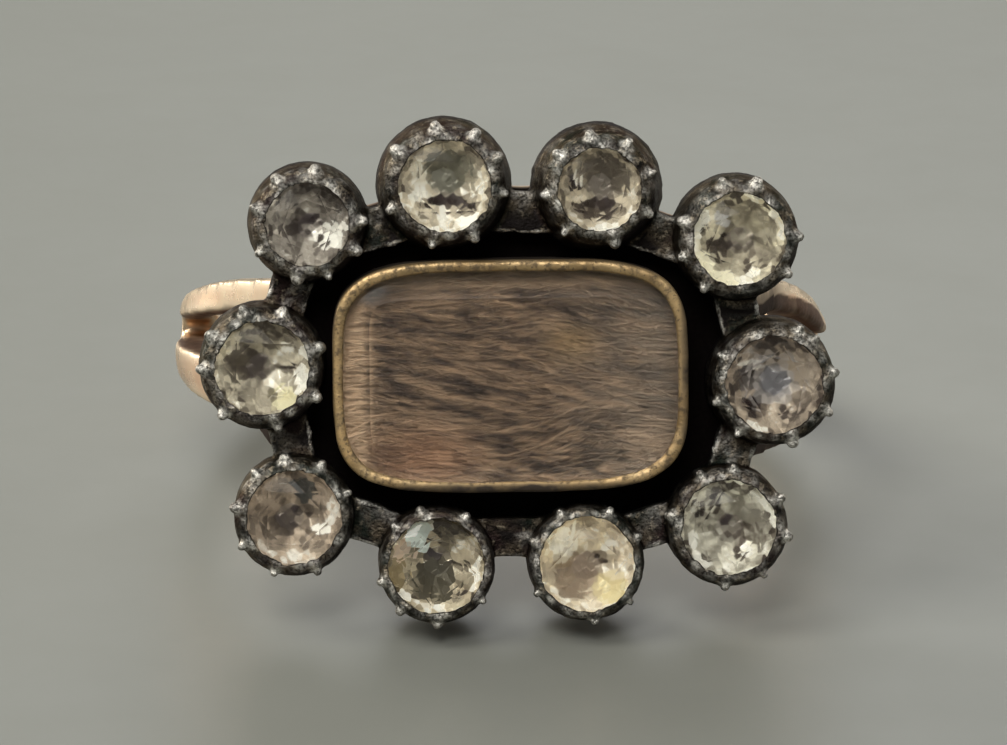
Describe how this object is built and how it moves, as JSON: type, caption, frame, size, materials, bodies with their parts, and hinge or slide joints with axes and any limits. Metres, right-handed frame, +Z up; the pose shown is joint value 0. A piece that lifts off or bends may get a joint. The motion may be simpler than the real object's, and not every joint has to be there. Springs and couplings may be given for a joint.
{
  "type": "mourning ring",
  "caption": "Hand-made mourning ring with a hair locket under bevelled crystal, framed by stones in silver collets, on a split-shouldered gold shank, lying on its side.",
  "frame": {"origin": "centre of the ring's outer box, on the surface that the ring lies on", "axes": "+Z up, -Y towards the side that the face looks at, +X to the right across the face; the face looks to -Y and 17 degrees up, and the finger's axis leans back from +Z by the same angle"},
  "size_m": [0.0192, 0.0228, 0.014],
  "materials": {
    "rose_gold": "worn, satin to bright",
    "yellow_gold": "worn and grimy rim",
    "old_silver": "dark tarnish, bright where worn",
    "hair": "fine combed strands",
    "crystal": "polished, bevelled",
    "paste": "faceted, with foil behind"
  },
  "bodies": {
    "root": {"shank": "rose_gold", "collet_cluster": "old_silver", "locket_case": "yellow_gold", "hair_panel": "hair", "crystal": "crystal", "stone_1": "paste", "stone_2": "paste", "stone_3": "paste", "stone_4": "paste", "stone_5": "paste", "stone_6": "paste", "stone_7": "paste", "stone_8": "paste", "stone_9": "paste", "stone_10": "paste"}
  },
  "joints": []
}
